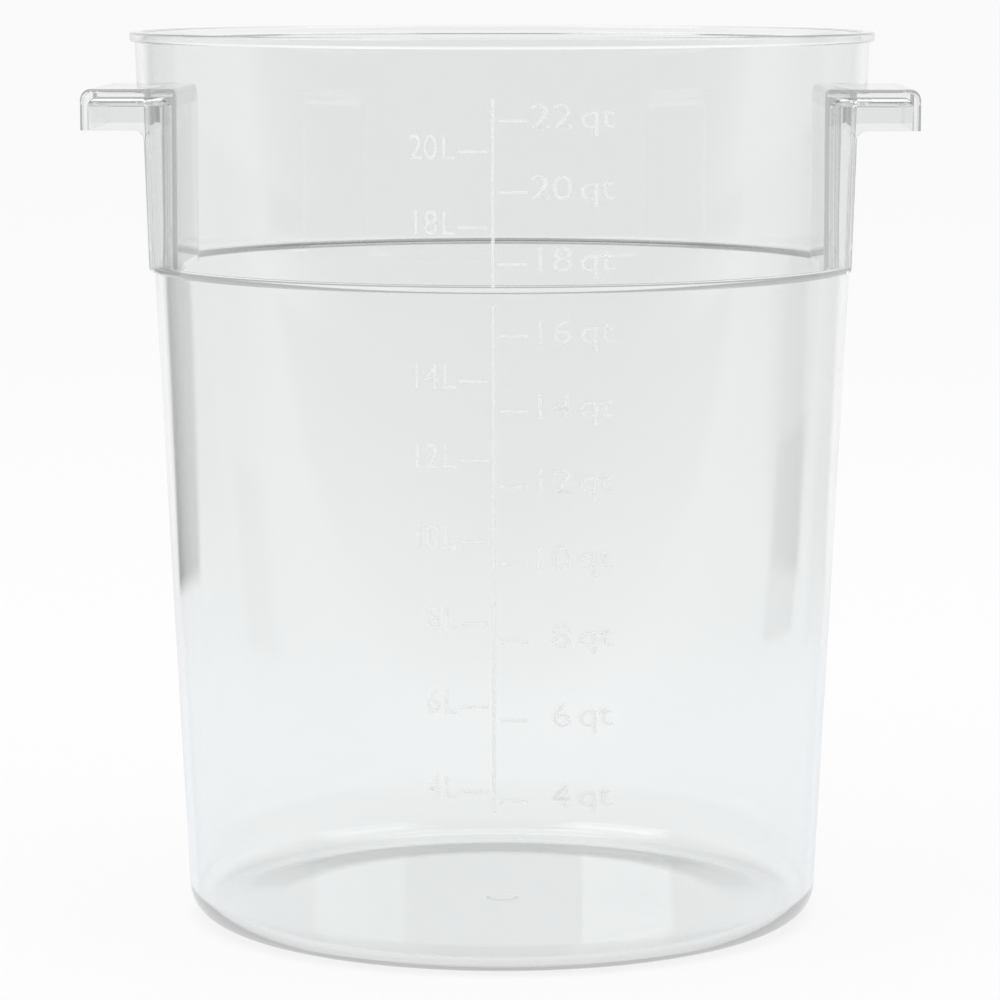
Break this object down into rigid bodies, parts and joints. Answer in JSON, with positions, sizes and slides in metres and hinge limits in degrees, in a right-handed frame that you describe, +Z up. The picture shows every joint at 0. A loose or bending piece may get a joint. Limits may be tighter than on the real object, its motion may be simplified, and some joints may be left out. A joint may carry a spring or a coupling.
{
  "type": "dough proofing container",
  "caption": "Round clear food storage container for proofing dough, with moulded side handles, finger pockets, a stepped collar, a lid rim and raised graduations.",
  "frame": {"origin": "centre of the foot, on the table", "axes": "+Z up the axis of the container, +X through the right-hand handle, graduations on the -Y side"},
  "size_m": [0.348, 0.3142, 0.3765],
  "materials": {
    "clear_polycarbonate": "clear, polished by the mould",
    "raised_scale": "clear, raised, lightly frosted"
  },
  "bodies": {
    "root": {"base": "clear_polycarbonate", "lower_wall": "clear_polycarbonate", "ledge": "clear_polycarbonate", "collar": "clear_polycarbonate", "rim_flange": "clear_polycarbonate", "right_pocket": "clear_polycarbonate", "left_pocket": "clear_polycarbonate", "right_handle": "clear_polycarbonate", "left_handle": "clear_polycarbonate", "scale_spine": "raised_scale", "quart_ticks": "raised_scale", "litre_ticks": "raised_scale"}
  },
  "joints": []
}
